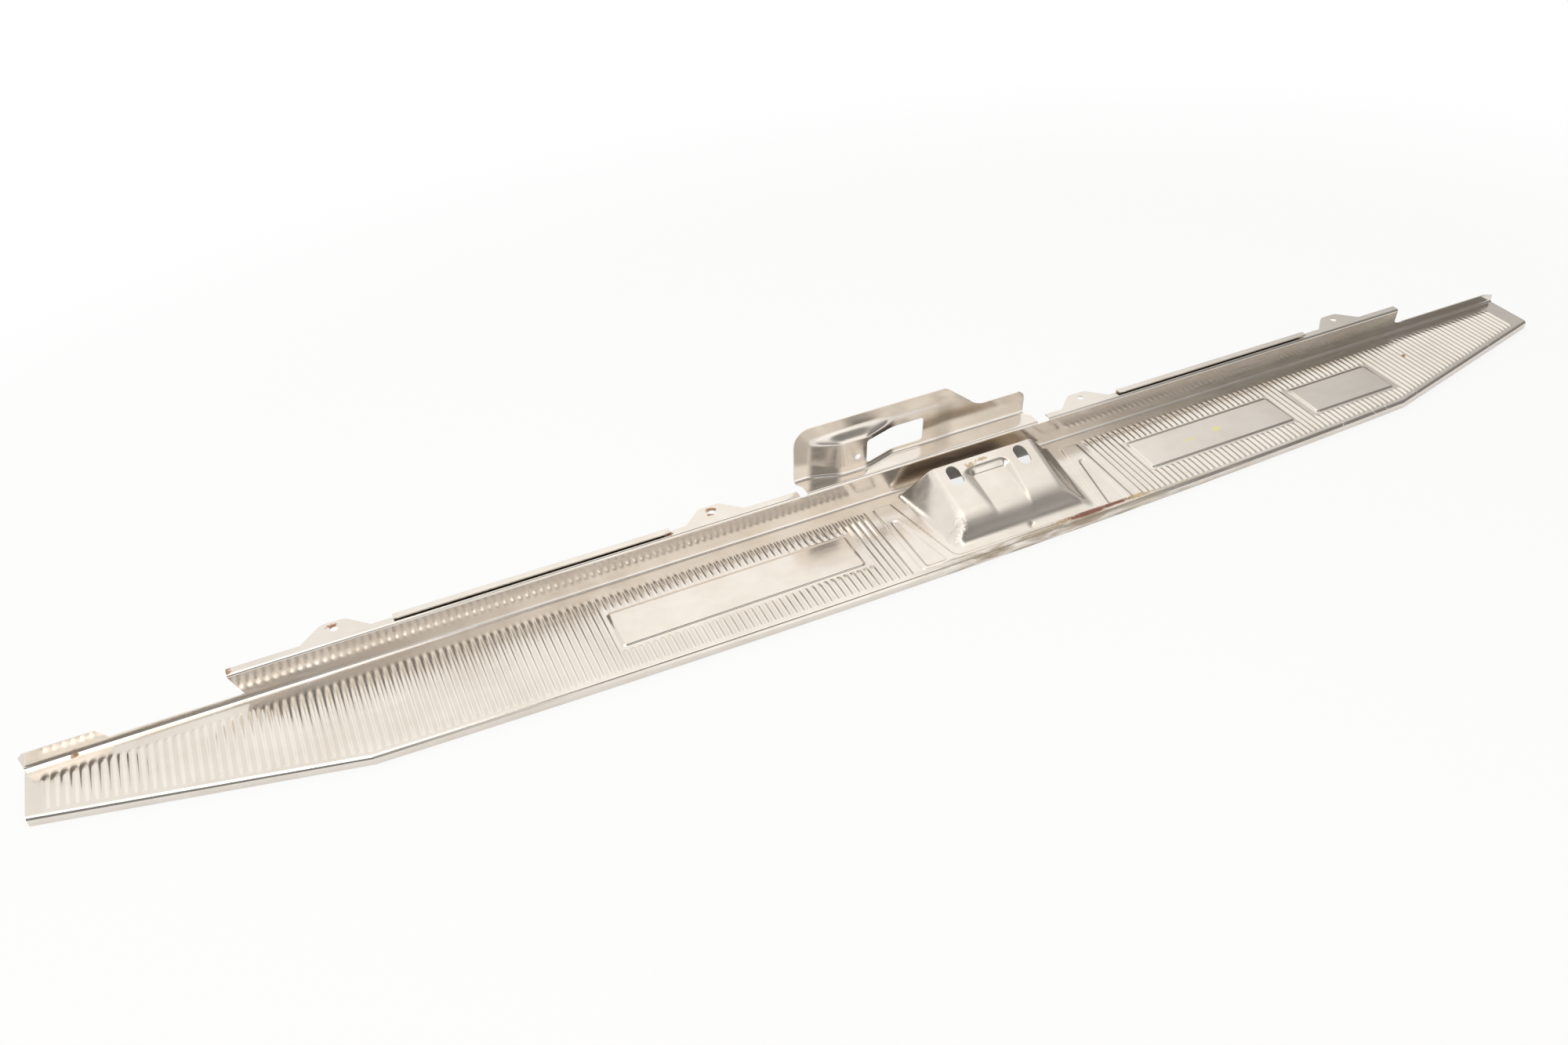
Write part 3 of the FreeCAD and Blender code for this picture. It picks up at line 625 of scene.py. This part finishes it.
# Scales of the noises, per metre.
WAVES, MOTTLE, SMEAR, CREASES, SCRATCHES, SPECKLE = 9.0, 26.0, 30.0, 240.0, 260.0, 420.0
GRAIN = (1.0, 7.0, 7.0)
# Steel is rougher and duller under rust, stains, wax and the painted reflections on the lip.
POLISH, DIRT_AND_REFLECTION_ROUGH, DIRT_AND_REFLECTION_DULL = 0.12, 0.42, 0.85
STEEL_BRIGHT = (0.82, 0.77, 0.71, 1.0)
STEEL_GREY = (0.77, 0.71, 0.64, 1.0)
# Painted brown reflection on the lip.
REFLECTION_BROWN = (0.36, 0.28, 0.18, 1.0)
# Painted shade on faces that look down.
UNDERSIDE_SHADE = (0.12, 0.105, 0.085, 1.0)
OCHRE = (0.56, 0.41, 0.19, 1.0)
# Ochre stains, and painted reflection on the lip.
RUST = (0.38, 0.18, 0.07, 1.0)
# Painted dark red reflection on the lip.
REFLECTION_RED = (0.26, 0.09, 0.055, 1.0)
WAX = (0.93, 0.84, 0.30, 1.0)


def drawn_place(nodes, place):
    """The drawing's own coordinates in millimetres, from Object coordinates."""
    x, y, z = nodes.split(place)
    return x / MM, y / MM - (FRONT_MIDDLE - TAB_REACH) / 2, z / MM - LIP_DEPTH


def patches(at, spots, ragged):
    """Ragged patches about the given places: 1 in the middle of each and 0 outside."""
    cover = None
    for centre, radii in spots:
        away = 0.0
        for axis, middle, radius in zip(at, centre, radii):
            across = (axis - middle) / radius
            away = across * across + away
        patch = (1.0 - away + ragged).ramp(0.0, 0.8)
        cover = patch if cover is None else cover.most(patch)
    return cover


def steel_marks(nodes, at, speckle, smear):
    """Shares of rust, ochre, the painted red reflection, wax and the painted brown reflection over
    the steel; the ochre on the lip is painted reflection too.
    """
    ragged = (speckle - 0.5) * RAGGED
    rust = patches(at, RUST_SPOTS, ragged) * RUST_COVERS
    ochre = patches(at, OCHRE_STAINS_AND_REFLECTIONS, ragged * OCHRE_RAGGED) * OCHRE_COVERS
    streak = patches(at, REFLECTION_STREAK, ragged * STREAK_RAGGED)
    wax = patches(at, WAX_MARKS, ragged * WAX_RAGGED) * WAX_COVERS
    on_lip = 1.0 - (at[1] + LIP_LINE).ramp(0.0, LIP_FADE)
    spread = at[0].ramp(*REFLECTION_IN) * (1.0 - at[0].ramp(*REFLECTION_OUT))
    lip_reflection = on_lip * spread * smear.ramp(*REFLECTION_PATCHY) * REFLECTION_COVERS
    return rust, ochre, streak, wax, lip_reflection


def steel_colour(nodes, at, mottle, marks):
    """Mottled steel under the marks, with painted shade where it faces down, darker inside the lock
    cover.
    """
    rust, ochre, streak, wax, lip_reflection = marks
    facing = nodes.split(nodes.add("ShaderNodeTexCoord", output=NORMAL))[2]
    # Painted shade: faces that look down are darkened, more so inside the lock cover.
    cover_shade = patches(at, SHADE_UNDER_COVER, 0.0) * COVER_SHADE_SHARE
    painted_shade = (0.0 - facing).ramp(*DOWNWARD) * (UNDERSIDE_SHADE_SHARE + cover_shade)
    colour = nodes.mix(mottle.ramp(0.35, 0.7), STEEL_BRIGHT, STEEL_GREY)
    # Painted shade, the painted brown reflection, ochre, the painted red reflection, rust and wax,
    # laid on in that order.
    for share, paint in ((painted_shade, UNDERSIDE_SHADE), (lip_reflection, REFLECTION_BROWN), (ochre, OCHRE),
                         (streak * STREAK_COVERS, REFLECTION_RED), (rust, RUST), (wax, WAX)):
        colour = nodes.mix(share, colour, paint)
    return colour


def steel_bump(nodes, place, at, mottle, speckle):
    """Slight waves in the sheet, with creases where it is dented or dinged."""
    ragged = (speckle - 0.5) * RAGGED
    creases = nodes.noise(place, CREASES, 2.0, 0.5)
    height = nodes.noise(place, WAVES, 2.0, 0.4) + mottle * 0.05 + speckle * 0.0012
    for spots in (DENTS, DINGS):
        height = height + patches(at, spots, ragged) * creases * 0.8
    return nodes.add("ShaderNodeBump", inputs={
        "Strength": 0.35, "Distance": 0.0012, "Height": height})


def stainless():
    """Bright rolled sheet with fine scratches, dull patches, rust and a few dents, painted shade
    where it faces down and painted reflections on the lip.
    """
    material = bpy.data.materials.new("stainless")
    nodes = Nodes(material)
    place = nodes.add("ShaderNodeTexCoord", output=OBJECT)
    at = drawn_place(nodes, place)
    lengthwise = nodes.add("ShaderNodeMapping", inputs={"Vector": place, "Scale": GRAIN})
    mottle = nodes.noise(place, MOTTLE, 5.0, 0.6)
    speckle = nodes.noise(place, SPECKLE, 3.0, 0.6)
    smear = nodes.noise(lengthwise, SMEAR, 5.0, 0.62, 0.4)
    scratches = nodes.noise(lengthwise, SCRATCHES, 4.0, 0.7)
    marks = steel_marks(nodes, at, speckle, smear)
    rust, ochre, streak, wax, lip_reflection = marks
    # Rust, stains, wax and the painted reflections on the lip dull the steel.
    dirt_and_reflection = rust.most(streak).most(ochre * 0.8).most(lip_reflection * 0.6).most(wax)
    satin = smear.ramp(0.3, 0.75) * 0.08 + mottle.ramp(0.45, 0.75) * 0.05 + scratches * 0.05
    shader = nodes.add("ShaderNodeBsdfPrincipled", inputs={
        "Base Color": steel_colour(nodes, at, mottle, marks),
        "Metallic": 1.0 - dirt_and_reflection * DIRT_AND_REFLECTION_DULL,
        "Roughness": POLISH + satin + dirt_and_reflection * DIRT_AND_REFLECTION_ROUGH,
        "Normal": steel_bump(nodes, place, at, mottle, speckle)})
    nodes.add("ShaderNodeOutputMaterial", inputs={"Surface": shader})
    return material


# Studio. The pale floor is white to the camera but for the part's shadow, and it grows whiter
# outward over an oval of this size in metres.
OVAL_LONG, OVAL_DEEP, OVAL_EDGE = 1.1, 0.75, (0.35, 1.3)
FLOOR_SEEN, FLOOR_MIRRORED = 0.8, 0.42
PAPER = (0.93, 0.925, 0.915, 1.0)
WHITE = (1.0, 1.0, 1.0, 1.0)
FLOOR_SIZE = 6.0

# The world, by direction. Each pair is where a change begins and ends in x, y or z of the
# direction's unit vector.
BACKDROP = (-0.14, 0.2)
BRIGHTER, BRIGHTER_BY = (-0.15, 0.2), 0.14
DARKER, DARKER_BY = (0.46, 0.78), 0.58
ROOM, GLOW = 0.24, 0.98
GLOW_LEFT, GLOW_RIGHT, GLOW_TOP = (-0.16, 0.2), (0.47, 0.62), (0.7, 0.88)
STRIP_FRONT, STRIP_BACK, STRIP_UP = (-0.10, -0.02), (0.06, 0.16), (0.84, 0.94)
STRIP_FROM, STRIP_TO, STRIP_POWER = (-0.55, -0.3), (0.4, 0.6), 1.1
DAYLIGHT = (1.0, 0.985, 0.96, 1.0)


def floor_material():
    material = bpy.data.materials.new("studio_floor")
    nodes = Nodes(material)
    x, y = nodes.split(nodes.add("ShaderNodeTexCoord", output=OBJECT))[:2]
    camera, glossy, through = nodes.ray_kinds()
    along_oval, across_oval = x / OVAL_LONG, y / OVAL_DEEP
    far = (along_oval * along_oval + across_oval * across_oval).ramp(*OVAL_EDGE)
    paper = nodes.add("ShaderNodeBsdfPrincipled", inputs={
        "Base Color": PAPER, "Roughness": 0.9, "Specular IOR Level": 0.0})
    white = nodes.add("ShaderNodeEmission", inputs={"Color": WHITE, "Strength": 1.0})
    seen = camera * (FLOOR_SEEN + far * (1.0 - FLOOR_SEEN))
    mirrored = glossy.most(through) * (FLOOR_MIRRORED + far * (1.0 - FLOOR_MIRRORED))
    surface = nodes.add("ShaderNodeMixShader", inputs=(seen.most(mirrored), paper, white))
    nodes.add("ShaderNodeOutputMaterial", inputs={"Surface": surface})
    return material


def studio_floor():
    mesh = bmesh.new()
    bmesh.ops.create_grid(mesh, x_segments=1, y_segments=1, size=FLOOR_SIZE)
    data = bpy.data.meshes.new("studio_floor")
    mesh.to_mesh(data)
    mesh.free()
    floor = bpy.data.objects.new("studio_floor", data)
    bpy.context.scene.collection.objects.link(floor)
    data.materials.append(floor_material())


def studio_world():
    """White backdrop behind the part, dark room overhead and in front of it, a soft glow ahead."""
    world = bpy.data.worlds.new("studio")
    bpy.context.scene.world = world
    nodes = Nodes(world)
    x, y, z = nodes.split(nodes.add("ShaderNodeTexCoord", output=GENERATED))
    camera, glossy, through = nodes.ray_kinds()
    backdrop = y.ramp(*BACKDROP)
    level = 1.0 + x.ramp(*BRIGHTER) * BRIGHTER_BY - x.ramp(*DARKER) * DARKER_BY
    ahead = x.ramp(*GLOW_LEFT) * (1.0 - x.ramp(*GLOW_RIGHT)) * (1.0 - z.ramp(*GLOW_TOP))
    room = ROOM + ahead * GLOW
    overhead = y.ramp(*STRIP_FRONT) * (1.0 - y.ramp(*STRIP_BACK)) * z.ramp(*STRIP_UP)
    strip = overhead * x.ramp(*STRIP_FROM) * (1.0 - x.ramp(*STRIP_TO)) * STRIP_POWER
    light = backdrop * level + (1.0 - backdrop) * room + strip
    white = camera.most(through)
    strength = white + (1.0 - white) * light.most(glossy * backdrop * level)
    shader = nodes.add("ShaderNodeBackground", inputs={"Color": DAYLIGHT, "Strength": strength})
    nodes.add("ShaderNodeOutputWorld", inputs={"Surface": shader})


KEY_PLACE, KEY_SIDE, KEY_POWER = Vector((-1.05, -0.75, 1.95)), 1.5, 17.0


def key_softbox():
    """A square softbox over the left front, turned to the middle of the part."""
    light = bpy.data.lights.new("key_softbox", "AREA")
    light.size = KEY_SIDE
    light.energy = KEY_POWER
    lamp = bpy.data.objects.new("key_softbox", light)
    turn = (-KEY_PLACE).to_track_quat("-Z", "Y").to_matrix().to_4x4()
    lamp.matrix_world = Matrix.Translation(KEY_PLACE) @ turn
    bpy.context.scene.collection.objects.link(lamp)


# Camera: place in metres, turns in degrees, lens and sensor in millimetres.
CAMERA_PLACE = (-0.40346, -0.59980, 0.61093)
CAMERA_HEADING, CAMERA_TILT, CAMERA_ROLL = -24.829, 49.473, -0.939
CAMERA_LENS, CAMERA_SENSOR = 28.271, 36.0


def studio_camera():
    data = bpy.data.cameras.new("camera")
    data.sensor_width = CAMERA_SENSOR
    data.lens = CAMERA_LENS
    camera = bpy.data.objects.new("camera", data)
    camera.matrix_world = (Matrix.Translation(CAMERA_PLACE)
                           @ Matrix.Rotation(math.radians(CAMERA_HEADING), 4, "Z")
                           @ Matrix.Rotation(math.radians(CAMERA_TILT), 4, "X")
                           @ Matrix.Rotation(math.radians(CAMERA_ROLL), 4, "Z"))
    bpy.context.scene.collection.objects.link(camera)
    bpy.context.scene.camera = camera


steel = stainless()
left_marks = [-HALF_LENGTH] + rib_marks(*RIBS_LEFT)
right_marks = rib_marks(*RIBS_RIGHT) + [HALF_LENGTH]
pieces = [
    ribbed_tray("ribbed_tray_left", left_marks),
    ribbed_tray("ribbed_tray_right", right_marks),
    cover_field(left_marks[-1], right_marks[0]),
    rear_wall(),
    striker_bracket(),
]
for piece in pieces:
    piece.data.materials.append(steel)

studio_floor()
studio_world()
key_softbox()
studio_camera()
bpy.context.scene.view_settings.view_transform = "Standard"
